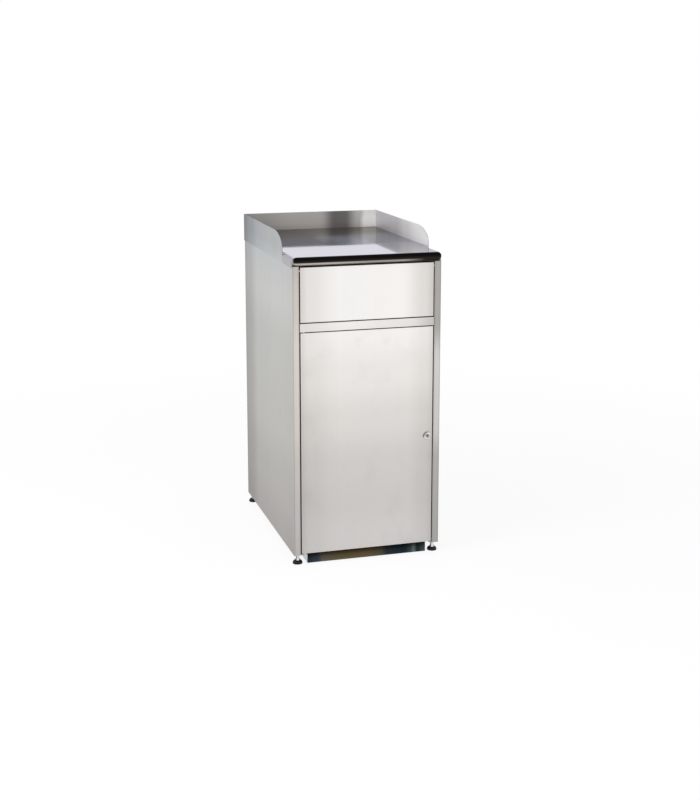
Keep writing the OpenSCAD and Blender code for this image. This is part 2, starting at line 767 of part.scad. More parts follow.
module waste_bin() color(satin) at_front() translate([0, bin_y + bin_len/2, bin_floor]) difference() {
  union() {
    linear_extrude(bin_h) round_rect(bin_w, bin_len, bin_corner);
    translate([0, 0, bin_h - bin_rim_h]) linear_extrude(bin_rim_h)
      round_rect(bin_w + 2*bin_rim_w, bin_len + 2*bin_rim_w, bin_corner + bin_rim_w);
  }
  translate([0, 0, bin_wall]) linear_extrude(bin_h)
    round_rect(bin_w - 2*bin_wall, bin_len - 2*bin_wall, bin_corner - bin_wall);
}

module bag_retainer() color(plated) at_front()
  translate([0, bin_y + bin_len/2, bin_rim_z]) linear_extrude(retainer_t) difference() {
    round_rect(bin_w + 2*bin_rim_w, bin_len + 2*bin_rim_w, bin_corner + bin_rim_w);
    round_rect(bin_w - 2*bin_wall, bin_len - 2*bin_wall, bin_corner - bin_wall);
  }

// Round bar grips on the two long walls of the container
module bin_handles() color(plated) at_front()
  for (sx = [-1, 1]) translate([sx*bin_w/2, bin_y + bin_len/2, handle_z]) {
    rotate([90, 0, 0]) translate([sx*handle_off, 0, -handle_span/2 - handle_r])
      cylinder(r = handle_r, h = handle_span + 2*handle_r);
    for (sy = [-1, 1]) translate([0, sy*handle_span/2, 0]) rotate([0, sx*90, 0])
      cylinder(r = handle_r, h = handle_off);
  }

left_side_panel();
right_side_panel();
back_panel();
back_panel_rivets();
mid_rail();
header_rail();
left_base_rail();
right_base_rail();
rear_base_rail();
foot_bracket_front_left();
foot_bracket_front_right();
foot_bracket_rear_left();
foot_bracket_rear_right();
foot_weld_nuts();
base_pan();
deck();
deck_board();
gallery();
flap_skin();
flap_liner();
flap_bush_left();
flap_bush_right();
flap_pin_left();
flap_pin_right();
flap_buffers();
door_skin();
door_liner();
door_stiffeners();
door_pivot_block_top();
door_pivot_block_bottom();
door_pin_top();
door_pin_bottom();
door_stop_top();
door_stop_bottom();
door_buffers();
lock_barrel();
lock_nut();
lock_plug();
lock_cam();
lock_cam_screw();
lock_strike();
chute_front_deflector();
chute_cheek_left();
chute_cheek_right();
chute_rear_baffle();
waste_bin();
bag_retainer();
bin_handles();
foot_pad_front_left();
foot_pad_front_right();
foot_pad_rear_left();
foot_pad_rear_right();
foot_stem_front_left();
foot_stem_front_right();
foot_stem_rear_left();
foot_stem_rear_right();
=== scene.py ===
from math import cos, pi, radians, sin

import bmesh
import bpy
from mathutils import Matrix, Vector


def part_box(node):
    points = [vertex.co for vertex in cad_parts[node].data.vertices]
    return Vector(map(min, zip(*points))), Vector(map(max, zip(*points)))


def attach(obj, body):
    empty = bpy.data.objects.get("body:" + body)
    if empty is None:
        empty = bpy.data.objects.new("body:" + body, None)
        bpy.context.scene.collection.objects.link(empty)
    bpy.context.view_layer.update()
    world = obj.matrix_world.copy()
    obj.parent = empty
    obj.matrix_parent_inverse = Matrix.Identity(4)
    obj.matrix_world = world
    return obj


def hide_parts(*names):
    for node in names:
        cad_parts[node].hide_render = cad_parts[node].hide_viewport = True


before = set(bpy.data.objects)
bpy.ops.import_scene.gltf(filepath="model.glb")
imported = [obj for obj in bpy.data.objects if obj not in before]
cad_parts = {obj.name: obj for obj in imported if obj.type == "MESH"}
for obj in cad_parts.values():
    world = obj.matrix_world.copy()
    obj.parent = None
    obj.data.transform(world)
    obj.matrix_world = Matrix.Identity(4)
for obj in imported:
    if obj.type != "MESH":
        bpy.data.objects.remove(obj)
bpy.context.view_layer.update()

# Side panels: one stainless sheet a side, 1.2 mm, satin finished, folded round the front
# to make the post and round the back to make the rear return. A second fold of the front
# edge lies on the outer part of the post and leaves a fine line down it.

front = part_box("door_skin")[0][1]
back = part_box("back_panel_rivets")[1][1]


def paint(red, green, blue):
    """A colour seen on a screen, as the light that the sheet sends back."""
    return tuple((v / 255 / 12.92) if v <= 10 else ((v / 255 + 0.055) / 1.055) ** 2.4
                 for v in (red, green, blue))


def link(tree, source, target):
    tree.links.new(source, target)


def place_on(tree, kind="Object"):
    """Where a point lies on the station, or with Normal the way that it faces."""
    for node in tree.nodes:
        if node.bl_idname == "ShaderNodeTexCoord":
            return node.outputs[kind]
    return tree.nodes.new("ShaderNodeTexCoord").outputs[kind]


def math_node(tree, kind, first, second):
    """Two levels joined by a sum, such as MULTIPLY."""
    node = tree.nodes.new("ShaderNodeMath")
    node.operation = kind
    for socket, value in zip(node.inputs, (first, second)):
        if isinstance(value, (int, float)):
            socket.default_value = value
        else:
            link(tree, value, socket)
    return node.outputs[0]


def scaled(tree, level, by, plus):
    """The level times by, plus a constant."""
    node = tree.nodes.new("ShaderNodeMath")
    node.operation = "MULTIPLY_ADD"
    link(tree, level, node.inputs[0])
    node.inputs[1].default_value = by
    node.inputs[2].default_value = plus
    return node.outputs[0]


def cloud(tree, stretch, detail=2.0):
    """Noise from 0 to 1, with as many waves a metre as stretch says for each axis."""
    mapping = tree.nodes.new("ShaderNodeMapping")
    mapping.inputs["Scale"].default_value = stretch
    link(tree, place_on(tree), mapping.inputs["Vector"])
    noise = tree.nodes.new("ShaderNodeTexNoise")
    noise.inputs["Scale"].default_value = 1.0
    noise.inputs["Detail"].default_value = detail
    link(tree, mapping.outputs[0], noise.inputs["Vector"])
    return noise.outputs["Fac"]


def mixed(tree, share, first, second):
    """Goes from the first colour to the second as share goes from 0 to 1."""
    node = tree.nodes.new("ShaderNodeMix")
    node.data_type = "RGBA"
    for socket, value in zip((node.inputs[0], node.inputs[6], node.inputs[7]),
                             (share, first, second)):
        if isinstance(value, tuple):
            socket.default_value = (*value, 1.0)
        elif isinstance(value, float):
            socket.default_value = value
        else:
            link(tree, value, socket)
    return node.outputs[2]


def times(tree, first, second):
    """One colour multiplied by another."""
    node = tree.nodes.new("ShaderNodeVectorMath")
    node.operation = "MULTIPLY"
    for socket, value in zip(node.inputs, (first, second)):
        if isinstance(value, tuple):
            socket.default_value = value
        else:
            link(tree, value, socket)
    return node.outputs[0]


def risen(tree, level, low, high, start=0.0, end=1.0):
    """Goes from start to end as the level goes from low to high, and stays there."""
    span = tree.nodes.new("ShaderNodeMapRange")
    for name, value in (("From Min", low), ("From Max", high), ("To Min", start),
                        ("To Max", end)):
        span.inputs[name].default_value = value
    link(tree, level, span.inputs["Value"])
    return span.outputs[0]


def between(tree, vector, axis, low, high):
    """Rises from 0 to 1 between two places on an axis."""
    split = tree.nodes.new("ShaderNodeSeparateXYZ")
    link(tree, vector, split.inputs[0])
    return risen(tree, split.outputs["xyz".index(axis)], low, high)


def shades(tree, share, stops, easing="LINEAR"):
    """The colour for each share, from (share, colour) stops."""
    ramp = tree.nodes.new("ShaderNodeValToRGB")
    ramp.color_ramp.interpolation = easing
    while len(ramp.color_ramp.elements) < len(stops):
        ramp.color_ramp.elements.new(0.5)
    for element, (where, colour) in zip(ramp.color_ramp.elements, stops):
        element.position = where
        element.color = (*colour, 1.0)
    link(tree, share, ramp.inputs[0])
    return ramp.outputs[0]


def wash(material, axis, low, high, stops, looks="", part=()):
    """Paints light and shade into the sheet's colour along an axis, from (share, colour) stops.
    It may keep to the faces that look one way, such as -y, and to a part, which is (axis, low,
    high)."""
    tree = material.node_tree
    place = place_on(tree)
    base = tree.nodes["Principled BSDF"].inputs["Base Color"]
    written = tuple(material.diffuse_color)[:3]
    tints = [(where, tuple(t / w for t, w in zip(paint(*colour), written)))
             for where, colour in stops]
    tint = shades(tree, between(tree, place, axis, low, high), tints, "EASE")
    shaded = times(tree, base.links[0].from_socket, tint)
    shares = []
    if looks:
        sign = -1.0 if looks[0] == "-" else 1.0
        shares.append(between(tree, place_on(tree, "Normal"), looks[1], 0.3 * sign, 0.7 * sign))
    if part:
        blur = 0.0004
        shares.append(between(tree, place, part[0], part[1], part[1] + blur))
        shares.append(between(tree, place, part[0], part[2], part[2] - blur))
    share = 1.0
    for other in shares:
        share = math_node(tree, "MULTIPLY", share, other)
    if shares:
        shaded = mixed(tree, share, base.links[0].from_socket, shaded)
    link(tree, shaded, base)


def raised(tree, height, strength, depth):
    """Gives the surface a relief that follows height, up to depth in metres."""
    bump = tree.nodes.new("ShaderNodeBump")
    bump.inputs["Strength"].default_value = strength
    bump.inputs["Distance"].default_value = depth
    link(tree, height, bump.inputs["Height"])
    link(tree, bump.outputs[0], tree.nodes["Principled BSDF"].inputs["Normal"])


def brushed(name, colour, rough, grain, metallic=1.0, streak=0.04, blotch=0.03, smear=0.0,
            relief=0.06):
    """Metal rubbed in one direction: fine lines along grain, faint streaks, cloudy patches
    and, where smear is given, the dull marks that hands and cloths leave."""
    material = bpy.data.materials.new(name)
    material.use_nodes = True
    material.diffuse_color = (*colour, 1.0)
    tree = material.node_tree
    shader = tree.nodes["Principled BSDF"]
    along = "xyz".index(grain)
    fine = cloud(tree, tuple(7.0 if i == along else 900.0 for i in range(3)))
    wide = cloud(tree, tuple(1.3 if i == along else 75.0 for i in range(3)))
    patch = cloud(tree, (4.0, 4.0, 4.0), 3.0)
    level = math_node(tree, "MULTIPLY", scaled(tree, wide, 2 * streak, 1.0 - streak),
                      scaled(tree, patch, 2 * blotch, 1.0 - blotch))
    rub = scaled(tree, fine, 0.4 * rough, 0.8 * rough)
    if smear:
        marks = risen(tree, cloud(tree, (15.0, 15.0, 11.0), 4.0), 0.56, 0.74)
        level = math_node(tree, "MULTIPLY", level, scaled(tree, marks, -smear, 1.0))
        rub = math_node(tree, "ADD", rub, math_node(tree, "MULTIPLY", marks, smear))
    tone = tree.nodes.new("ShaderNodeCombineXYZ")
    for socket in tone.inputs:
        link(tree, level, socket)
    link(tree, times(tree, tone.outputs[0], tuple(colour)), shader.inputs["Base Color"])
    link(tree, rub, shader.inputs["Roughness"])
    if relief:
        raised(tree, fine, relief, 0.0001)
    shader.inputs["Metallic"].default_value = metallic
    return material


def softened(mesh_object, edge):
    """Takes the sharp look off every hard edge, as a rolled or dressed sheet edge is."""
    bevel_from, crease_from = radians(35), radians(50)
    bm = bmesh.new()
    bm.from_mesh(mesh_object.data)
    bmesh.ops.remove_doubles(bm, verts=bm.verts, dist=1e-6)
    bmesh.ops.dissolve_limit(bm, angle_limit=radians(0.5), verts=bm.verts, edges=bm.edges)
    hard = [e for e in bm.edges
            if len(e.link_faces) == 2 and e.calc_face_angle(0.0) > bevel_from]
    bmesh.ops.bevel(bm, geom=hard, offset=edge, segments=2, profile=0.5,
                    affect="EDGES", clamp_overlap=True)
    for face in bm.faces:
        face.smooth = True
    for e in bm.edges:
        e.smooth = e.calc_face_angle(0.0) < crease_from
    bm.to_mesh(mesh_object.data)
    bm.free()
    if "custom_normal" in mesh_object.data.attributes:
        mesh_object.data.attributes.remove(mesh_object.data.attributes["custom_normal"])
    weighted = mesh_object.modifiers.new("even_faces", "WEIGHTED_NORMAL")
    weighted.keep_sharp = True


def piece_from(node, edge, material, body="root"):
    """A piece in the node's place, with its edges softened."""
    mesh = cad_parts[node].data.copy()
    mesh.materials.clear()
    mesh.materials.append(material)
    piece = bpy.data.objects.new(node + "_sheet", mesh)
    bpy.context.collection.objects.link(piece)
    softened(piece, edge)
    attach(piece, body)
    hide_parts(node)
    return piece


panel_z = (0.032, 1.0)
face_y = front + 0.0009
post_face, behind_it = ("y", -1.0, face_y), ("y", face_y, 1.0)
# The stops below are painted light and shade, not the sheet's own colour. Painted reflections
# make each side darker at its foot and paler towards its top, and darker towards the back. The
# post faces get painted reflections up their height, a painted dark line at the corner, and
# painted shade at the inner edge by the gap, deeper on the left post than the right.
side_up = [(0.0, (158, 153, 149)), (0.2, (170, 167, 162)), (0.42, (181, 179, 174)),
           (0.7, (182, 182, 178)), (0.86, (191, 191, 188)), (1.0, (184, 186, 187))]
post_up = [(0.0, (188, 183, 181)), (0.13, (194, 190, 188)), (0.3, (200, 196, 191)),
           (0.47, (214, 208, 199)), (0.7, (219, 213, 207)), (0.88, (210, 202, 196)),
           (1.0, (196, 189, 184))]
right_up = [(0.0, (168, 167, 165)), (0.3, (178, 176, 173)), (0.42, (206, 205, 202)),
            (0.66, (214, 211, 208)), (0.78, (176, 172, 168)), (1.0, (176, 172, 168))]
for side, up, out, inner, shade in (("left", post_up, -0.25, -0.2276, 132),
                                    ("right", right_up, 0.25, 0.2276, 186)):
    steel = brushed("satin_side_steel_" + side, paint(222, 222, 222), 0.42, "z",
                    metallic=0.75, smear=0.02)
    wash(steel, "z", *panel_z, side_up, part=behind_it)
    wash(steel, "y", front, back, [(0.0, (219, 219, 219)), (0.25, (222, 222, 222)),
                                   (0.7, (218, 219, 219)), (0.9, (190, 190, 192)),
                                   (1.0, (178, 178, 181))],
         looks="-x" if side == "left" else "+x")
    wash(steel, "z", *panel_z, up, part=post_face)
    wash(steel, "x", out, inner, [(0.0, (160, 150, 146)), (0.08, (178, 172, 168)),
                                  (0.17, (218, 218, 218)), (0.7, (220, 220, 220)),
                                  (0.92, (206, 205, 204)),
                                  (1.0, (shade, shade - 6, shade - 10))],
         part=post_face)
    piece_from(side + "_side_panel", 0.0003, steel)

# Back panel: a plain stainless sheet behind the rear returns, held by five blind rivets
# a side. The rivets are aluminium, with a low dome outside.

back_steel = brushed("satin_back_steel", paint(196, 195, 192), 0.45, "z", metallic=0.75,
                     smear=0.02)
piece_from("back_panel", 0.0003, back_steel)
rivet_metal = brushed("rivet_aluminium", paint(190, 190, 192), 0.35, "x", streak=0.08)
piece_from("back_panel_rivets", 0.0003, rivet_metal)

# Front rails: a box rail between the flap and the door, let in between the posts with a
# shadow gap at each end, and an angle rail under the nosing that the flap shuts against.

rail_steel = brushed("satin_rail_steel", paint(240, 236, 232), 0.4, "x", metallic=0.7,
                     smear=0.02)
# Painted shade: the rails darken towards each post, most at the right, and faces set back from
# the front darken to a painted shadow 4 mm behind it, as on the header rail under the nosing.
wash(rail_steel, "x", -0.228, 0.228, [(0.0, (224, 220, 216)), (0.35, (240, 236, 232)),
                                      (0.8, (232, 229, 225)), (1.0, (200, 197, 193))])
wash(rail_steel, "y", front, front + 0.004, [(0.0, (240, 236, 232)), (0.3, (240, 236, 232)),
                                             (1.0, (120, 112, 106))])
piece_from("mid_rail", 0.0005, rail_steel)
piece_from("header_rail", 0.0003, rail_steel)

# Base rails and foot brackets: satin rails pressed to angles and spot welded inside the
# lower edge, and bright zinc plated brackets with a weld nut over each foot.

zinc = brushed("zinc_plate", paint(176, 178, 182), 0.38, "y", streak=0.08, blotch=0.1,
               smear=0.1)
for node in ("left_base_rail", "right_base_rail", "rear_base_rail"):
    piece_from(node, 0.0003, back_steel)
for node in ("foot_bracket_front_left", "foot_bracket_front_right",
             "foot_bracket_rear_left", "foot_bracket_rear_right"):
    piece_from(node, 0.0005, zinc)
piece_from("foot_weld_nuts", 0.0005, zinc)

# Feet: a domed black rubber pad moulded round the root of a plated stem. The stem has a
# turned cone over the pad and a rolled thread above it.


def mottled(name, dark, pale, patch, rough, rub=0.0):
    """A material that wanders between a dark and a pale shade, and by rub in roughness.
    Gives also the patches."""
    material = bpy.data.materials.new(name)
    material.use_nodes = True
    tree = material.node_tree
    patches = cloud(tree, *patch)
    shader = tree.nodes["Principled BSDF"]
    link(tree, shades(tree, patches, [(0.0, dark), (1.0, pale)]), shader.inputs["Base Color"])
    shader.inputs["Roughness"].default_value = rough
    if rub:
        link(tree, scaled(tree, patches, rub, rough), shader.inputs["Roughness"])
    return material, patches


rubber = mottled("black_pad_rubber", (0.002, 0.002, 0.0022), (0.008, 0.008, 0.009),
                 ((60.0, 60.0, 60.0), 2.0), 0.22, rub=0.2)[0]
rubber_tree = rubber.node_tree
rubber_tree.nodes["Principled BSDF"].inputs["Specular IOR Level"].default_value = 0.25
raised(rubber_tree, cloud(rubber_tree, (900.0, 900.0, 900.0), 3.0), 0.15, 0.0002)


def put_in(bm, name, sharp_from=35):
    """Makes the mesh an object, smooth but for the edges that turn by more degrees than
    sharp_from, or flat all over at 0."""
    bmesh.ops.recalc_face_normals(bm, faces=bm.faces)
    for face in bm.faces:
        face.smooth = sharp_from > 0
    for e in bm.edges:
        e.smooth = e.calc_face_angle(0.0) < radians(sharp_from)
    mesh = bpy.data.meshes.new(name)
    bm.to_mesh(mesh)
    bm.free()
    piece = bpy.data.objects.new(name, mesh)
    bpy.context.collection.objects.link(piece)
    return piece


def dressed(piece, material, body, node):
    """Lets a newly made piece take the node's place, in its material."""
    piece.data.materials.clear()
    piece.data.materials.append(material)
    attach(piece, body)
    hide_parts(node)


def turned(name, profile, centre, axis="z"):
    """A turned piece: profile is radius and height, swept round an axis through centre."""
    around = 48
    bm = bmesh.new()
    rings = []
    for radius, height in profile:
        ring = []
        if radius < 1e-6:
            ring.append(bm.verts.new((0.0, 0.0, height)))
        else:
            for k in range(around):
                a = 2 * pi * k / around
                ring.append(bm.verts.new((radius * cos(a), radius * sin(a), height)))
        rings.append(ring)
    for low, high in zip(rings, rings[1:]):
        for k in range(around):
            n = (k + 1) % around
            if len(low) == 1 and len(high) > 1:
                bm.faces.new((low[0], high[k], high[n]))
            elif len(high) == 1 and len(low) > 1:
                bm.faces.new((low[k], low[n], high[0]))
            elif len(low) > 1:
                bm.faces.new((low[k], low[n], high[n], high[k]))
    for v in bm.verts:
        x, y, z = v.co
        v.co = (x, y, z) if axis == "z" else (x, z, -y)
        v.co.x += centre[0]
        v.co.y += centre[1]
        v.co.z += centre[2]
    return put_in(bm, name)


pad_r, pad_h, dome_r, dome_z = 0.0165, 0.012, 0.009, 0.003
pad_profile = [(0.0, 0.0), (0.015, 0.0), (0.0162, 0.0004), (pad_r, 0.0012), (pad_r, dome_z)]
pad_profile += [(pad_r - dome_r + dome_r * cos(radians(a)), dome_z + dome_r * sin(radians(a)))
                for a in range(10, 89, 10)]
pad_profile += [(0.0086, pad_h - 0.0002), (0.0082, pad_h - 0.0006), (0.0081, 0.009),
                (0.0, 0.009)]
stem_r, root_r, pitch = 0.004, 0.0034, 0.00125
thread_low, thread_high, stem_top = 0.0268, 0.0548, 0.056
stem_profile = [(0.0, 0.0091), (0.0079, 0.0091), (0.008, 0.0122), (0.0078, 0.0131),
                (0.0069, 0.0152), (0.0058, 0.0186), (0.0049, 0.0222), (0.0042, 0.0255),
                (stem_r, 0.0262)]
turn = 0
while thread_low + turn * pitch < thread_high:
    z = thread_low + turn * pitch
    stem_profile += [(root_r, z), (stem_r, z + 0.0005), (stem_r, z + 0.0007)]
    turn += 1
stem_profile += [(0.0033, stem_top - 0.0003), (0.0, stem_top)]
stem_metal = brushed("turned_stem_metal", paint(226, 226, 224), 0.14, "z", relief=0.04)
stem_tree = stem_metal.node_tree
stem_base = stem_tree.nodes["Principled BSDF"].inputs["Base Color"]
# Painted shade: the faces of the stem that look left or right are painted dark, so the turned
# cone is bright only down its middle.
for sign in (-1.0, 1.0):
    side_shade = between(stem_tree, place_on(stem_tree, "Normal"), "x", 0.35 * sign, 0.85 * sign)
    link(stem_tree, mixed(stem_tree, side_shade, stem_base.links[0].from_socket,
                          paint(70, 68, 66)), stem_base)
for corner in ("front_left", "front_right", "rear_left", "rear_right"):
    low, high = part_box("foot_pad_" + corner)
    middle = ((low[0] + high[0]) / 2, (low[1] + high[1]) / 2, 0.0)
    dressed(turned("foot_pad_" + corner + "_rubber", pad_profile, middle),
            rubber, "foot_" + corner, "foot_pad_" + corner)
    dressed(turned("foot_stem_" + corner + "_turned", stem_profile, middle),
            stem_metal, "foot_" + corner, "foot_stem_" + corner)

# Base pan: a shallow folded tray under the container, polished outside. It hangs on the
# base rails by its flanges, and its front shows below the door.

pan_steel = brushed("polished_pan_steel", paint(178, 178, 178), 0.14, "x", relief=0.02,
                    smear=0.06)
pan_x, pan_z = (-0.205, 0.205), (0.003, 0.036)
# Painted reflection and shade on the pan's front, not its own colour: dark navy, olive and brown
# bands across it paint a reflection of the floor, and it is painted darker towards the top as
# shade under the door.
wash(pan_steel, "x", *pan_x,
     [(0.0, (40, 46, 54)), (0.08, (50, 58, 68)), (0.13, (88, 82, 72)), (0.3, (90, 80, 56)),
      (0.5, (92, 79, 58)), (0.6, (80, 74, 58)), (0.68, (38, 46, 52)), (0.82, (30, 41, 50)),
      (0.87, (52, 62, 68)), (0.9, (90, 98, 98)), (0.93, (36, 42, 46)), (1.0, (66, 74, 76))],
     looks="-y", part=("y", -1.0, front + 0.006))
wash(pan_steel, "z", *pan_z, [(0.0, (196, 196, 196)), (0.45, (166, 166, 166)),
                              (0.75, (120, 118, 112)), (1.0, (70, 66, 62))], looks="-y")
piece_from("base_pan", 0.0006, pan_steel)

# Chute: satin sheets that lead the waste from the flap into the container. The front
# one is spot welded to the rail, the cheeks to the side panels.

inside_steel = brushed("satin_inside_steel", paint(168, 167, 164), 0.45, "z", metallic=0.8,
                       blotch=0.06, smear=0.08)
for node in ("chute_front_deflector", "chute_cheek_left", "chute_cheek_right",
             "chute_rear_baffle"):
    piece_from(node, 0.0002, inside_steel)

# Waste container: a welded steel box with a folded rim, a flat zinc plated frame that holds
# the bag on the rim, and a bent and plated bar grip welded to each long wall.

bin_steel = brushed("container_steel", paint(170, 171, 172), 0.4, "z", metallic=0.9,
                    streak=0.07, blotch=0.08, smear=0.1)
plated = brushed("nickel_plate", paint(226, 226, 224), 0.16, "z", relief=0.04, smear=0.06)
piece_from("waste_bin", 0.0004, bin_steel)
piece_from("bag_retainer", 0.0006, zinc)
piece_from("bin_handles", 0.0006, plated)

# Deck: one polished stainless sheet on a sealed board, rolled down at the front edge and
# at the front of each side. The board only stiffens it and is not seen.

board, board_fibre = mottled("sealed_board", paint(120, 94, 66), paint(168, 140, 104),
                             ((260.0, 30.0, 400.0), 4.0), 0.6)
raised(board.node_tree, board_fibre, 0.2, 0.0004)
piece_from("deck_board", 0.0005, board)
deck_steel = brushed("polished_deck_steel", paint(222, 222, 232), 0.045, "x", streak=0.0,
                     blotch=0.01, relief=0.0)
# Painted reflection: the deck is bright at the front, where it paints the white backdrop, and
# blue grey to dark brown grey further back, where it paints the gallery's back wall.
wash(deck_steel, "y", front, back, [(0.0, (222, 222, 232)), (0.30, (222, 222, 232)),
                                    (0.37, (165, 170, 186)), (0.6, (160, 163, 175)),
                                    (0.76, (130, 126, 122)), (1.0, (130, 125, 121))])
deck_tree = deck_steel.node_tree
deck_shader = deck_tree.nodes["Principled BSDF"]
deck_place = place_on(deck_tree)


def on_deck(axis, low, high):
    """Rises from 0 to 1 between two places on the deck."""
    return between(deck_tree, deck_place, axis, low, high)


# How metallic the deck is, and how strongly it shines back at a flat angle. Both are painted
# reflection, which dims the deck's reflections: they are graded from front to back, the tint is
# darker and warmer by the right wing, and the rear left, with a patch at the right middle, takes
# a higher metallic and a much lower tint.

depth_share = on_deck("y", front, back)
reflection_metallic = shades(deck_tree, depth_share,
                [(where, (level, level, level))
                 for where, level in ((0.3, 1.0), (0.38, 0.5), (0.6, 0.5), (0.8, 0.9))])
right_middle = math_node(deck_tree, "MULTIPLY", on_deck("x", 0.06, 0.11),
                         on_deck("y", front + 0.55, front + 0.42))
rear_left = math_node(deck_tree, "MAXIMUM", on_deck("x", 0.0, -0.07),
                      math_node(deck_tree, "MULTIPLY", right_middle, 0.5))
rear_left = math_node(deck_tree, "MULTIPLY", rear_left,
                      on_deck("y", front + 0.24, front + 0.28))
link(deck_tree, mixed(deck_tree, rear_left, reflection_metallic, (0.85, 0.85, 0.85)),
     deck_shader.inputs["Metallic"])
glance = shades(deck_tree, depth_share,
                [(0.3, (0.82, 0.81, 0.845)), (0.38, (0.66, 0.67, 0.7)),
                 (0.6, (0.66, 0.66, 0.7)), (0.8, (0.68, 0.66, 0.65))])
near_wing = mixed(deck_tree, on_deck("x", 0.095, 0.135), (1.0, 1.0, 1.0), (0.76, 0.76, 0.73))
link(deck_tree, mixed(deck_tree, rear_left, times(deck_tree, glance, near_wing),
                      (0.45, 0.44, 0.46)), deck_shader.inputs["Specular Tint"])

# The sheet falls by 5 mm a metre towards the rear, too little to model. Its rolled edges are
# painted with light and shade: a near black nose as painted dark reflection, a paler lip under
# it as painted reflection of the floor, darkened towards the right as painted shade, a pale left
# end as painted reflection, and the rolled sides grey as painted reflection.

fall = -0.005
apart = deck_tree.nodes.new("ShaderNodeSeparateXYZ")
link(deck_tree, deck_place, apart.inputs[0])
raised(deck_tree, math_node(deck_tree, "MULTIPLY", apart.outputs["Y"], fall), 1.0, 1.0)
nose_start = front + 0.0025
lip_z = 1.003
lip = mixed(deck_tree, on_deck("x", -0.12, 0.0), paint(180, 176, 169), paint(156, 152, 146))
lip = mixed(deck_tree, on_deck("x", 0.12, 0.19), lip, paint(42, 38, 36))
nose = mixed(deck_tree, on_deck("z", lip_z, lip_z + 0.009), paint(46, 40, 36),
             paint(18, 16, 16))
roll = mixed(deck_tree, on_deck("z", lip_z - 0.0015, lip_z + 0.0005), lip, nose)
front_edge = mixed(deck_tree, on_deck("x", -0.249, -0.246), paint(160, 157, 155), roll)
skirted = deck_shader.inputs["Base Color"].links[0].from_socket
for sign in (-1.0, 1.0):
    over_edge = on_deck("x", 0.2425 * sign, 0.2475 * sign)
    skirted = mixed(deck_tree, over_edge, skirted, paint(170, 168, 167))
link(deck_tree, mixed(deck_tree, on_deck("y", nose_start, nose_start - 0.002), skirted,
                      front_edge), deck_shader.inputs["Base Color"])
piece_from("deck", 0.0002, deck_steel)

# Deck end caps: two small pieces of sheet that close the hollow under the rolled sides of
# the deck, welded in just behind the front ends of the gallery's wings.


def block(name, x0, x1, y0, y1, z0, z1):
    """A plain block between two corners."""
    bm = bmesh.new()
    bmesh.ops.create_cube(bm, size=1.0)
    for v in bm.verts:
        v.co = ((x0 + x1) / 2 + v.co.x * (x1 - x0), (y0 + y1) / 2 + v.co.y * (y1 - y0),
                (z0 + z1) / 2 + v.co.z * (z1 - z0))
    return put_in(bm, name, 0)


cap_steel = brushed("deck_end_steel", paint(226, 227, 227), 0.5, "z", metallic=0.3,
                    streak=0.04, blotch=0.04)
# Painted shade: the caps' end faces, which look left and right into the seams beside the wings,
# are painted dark.
for way in ("-x", "+x"):
    wash(cap_steel, "z", 1.0, 1.02, [(0.0, (84, 82, 80)), (1.0, (84, 82, 80))], looks=way)
cap_in, cap_out = 0.2368, 0.2499
cap_y, cap_sheet = front + 0.1301, 0.0012
cap_low, cap_high = 1.0072, 1.0206
for side, low_x, high_x in (("left", -cap_out, -cap_in), ("right", cap_in, cap_out)):
    cap = block("deck_end_cap_" + side, low_x, high_x, cap_y, cap_y + cap_sheet,
                cap_low, cap_high)
    cap.data.materials.append(cap_steel)
    softened(cap, 0.0002)
    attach(cap, "root")

# Gallery: a raised edge of satin sheet round the back and sides of the deck, with a skirt below
# it. Each wing ends in a quarter ellipse at the front, and the wings' thin top and front edges
# are painted darker than the faces, as painted dark reflection.

gallery_steel = brushed("satin_gallery_steel", paint(238, 238, 238), 0.3, "x",
                        metallic=0.4, smear=0.03, relief=0.0)
gallery_shader = gallery_steel.node_tree.nodes["Principled BSDF"]
gallery_shader.inputs["Specular IOR Level"].default_value = 0.3
gallery_shader.inputs["Anisotropic"].default_value = 0.85
gallery_shader.inputs["Anisotropic Rotation"].default_value = 0.25
brush_way = gallery_steel.node_tree.nodes.new("ShaderNodeTangent")
brush_way.direction_type = "RADIAL"
brush_way.axis = "Z"
link(gallery_steel.node_tree, brush_way.outputs[0], gallery_shader.inputs["Tangent"])
wing_y = (front + 0.13, back)
wall_x = (-0.25, 0.25)
wall_z = (1.02, 1.083)
rear_wall, right_wing = ("y", 0.3, 1.0), ("x", 0.0, 1.0)
# Painted light and shade on the inner faces: painted reflections make dark and bright bands
# along the back wall, white at its right corner, and make the right wing white at its front end
# and greyer to the back. Both darken towards the foot, but for the right corner of the back
# wall, which is palest there. The top edges are painted grey as dark reflection.
wash(gallery_steel, "x", *wall_x,
     [(0.0, (140, 141, 136)), (0.1, (158, 156, 152)), (0.4, (176, 172, 169)),
      (0.57, (178, 175, 172)), (0.68, (110, 106, 106)), (0.76, (112, 110, 109)),
      (0.87, (196, 195, 193)), (0.92, (255, 255, 253)), (1.0, (255, 255, 253))],
     looks="-y", part=rear_wall)
wash(gallery_steel, "z", *wall_z,
     [(0.0, (222, 219, 217)), (0.4, (238, 237, 236)), (1.0, (238, 238, 238))],
     looks="-y", part=rear_wall)
wash(gallery_steel, "z", *wall_z,
     [(0.0, (255, 255, 254)), (0.45, (246, 246, 245)), (1.0, (222, 221, 220))],
     looks="-y", part=("x", 0.19, 0.3))
wash(gallery_steel, "y", *wing_y,
     [(0.0, (255, 253, 250)), (0.22, (255, 253, 250)), (0.4, (238, 235, 233)),
      (0.6, (203, 201, 204)), (0.85, (182, 180, 184)), (1.0, (192, 190, 193))],
     looks="-x", part=right_wing)
wash(gallery_steel, "z", *wall_z,
     [(0.0, (214, 214, 219)), (0.5, (232, 232, 233)), (1.0, (238, 238, 238))],
     looks="-x", part=right_wing)
